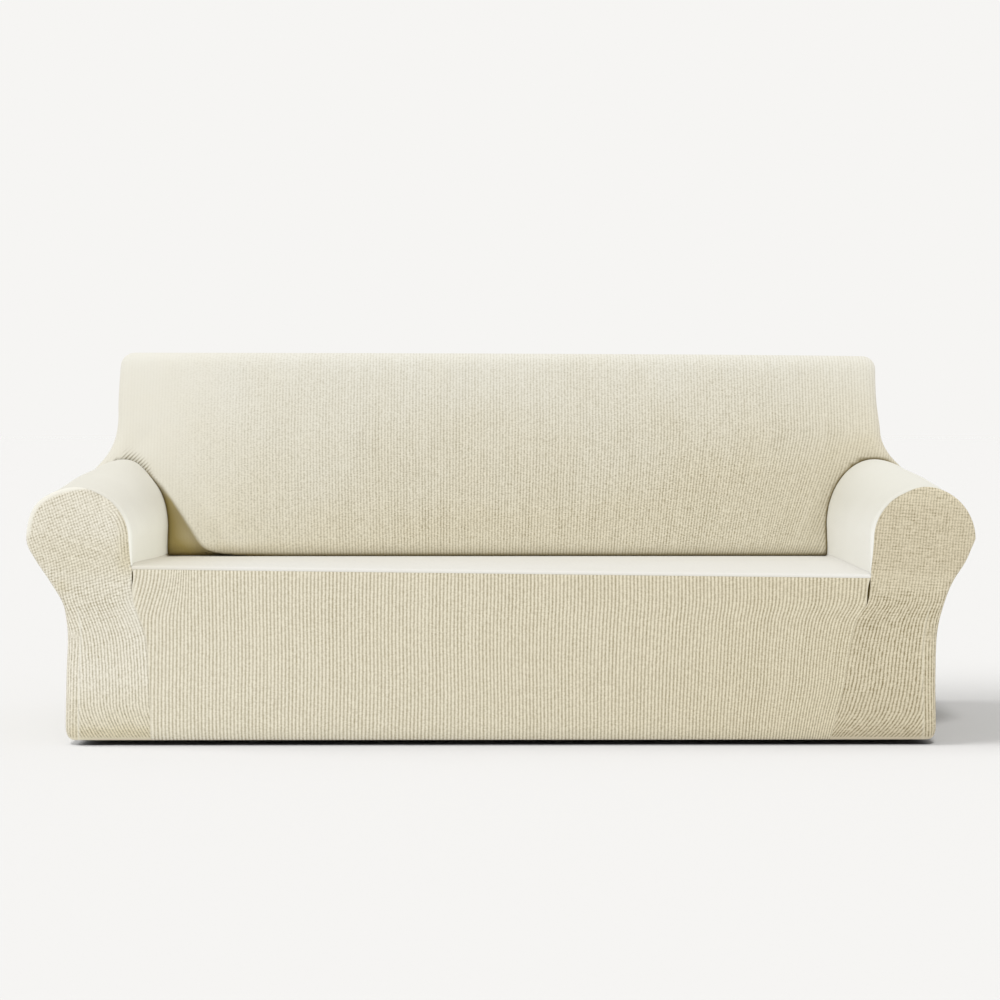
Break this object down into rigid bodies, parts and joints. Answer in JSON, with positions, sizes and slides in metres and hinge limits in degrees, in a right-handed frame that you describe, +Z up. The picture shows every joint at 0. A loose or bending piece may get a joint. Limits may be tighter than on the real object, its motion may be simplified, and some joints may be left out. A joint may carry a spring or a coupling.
{
  "type": "fitted stretch knit sofa slipcover",
  "caption": "Hollow fitted slipcover of ribbed cream knit for a rolled-arm sofa, with a leaning back, flat seat, straight front drop and round arm fronts.",
  "frame": {"origin": "at floor level, under the middle of the cover's width and depth", "axes": "+X to the right as seen from the front, along the sofa's width; +Y from the front drop to the outside back; +Z up"},
  "size_m": [2.2, 0.9, 0.926],
  "materials": {
    "ribbed_knit_back": "matt ribbed knit",
    "ribbed_knit_rear": "matt ribbed knit",
    "smooth_knit_seat": "matt smooth knit",
    "ribbed_knit_skirt": "matt ribbed knit",
    "smooth_knit_arm_left": "matt smooth knit",
    "smooth_knit_arm_right": "matt smooth knit",
    "waffle_knit_left": "matt small waffle knit",
    "waffle_knit_right": "matt small waffle knit"
  },
  "bodies": {
    "root": {"back_panel": "ribbed_knit_back", "rear_panel": "ribbed_knit_rear", "seat_panel": "smooth_knit_seat", "skirt_panel": "ribbed_knit_skirt", "arm_panel_left": "smooth_knit_arm_left", "arm_panel_right": "smooth_knit_arm_right", "arm_front_left": "waffle_knit_left", "arm_front_right": "waffle_knit_right"}
  },
  "joints": []
}
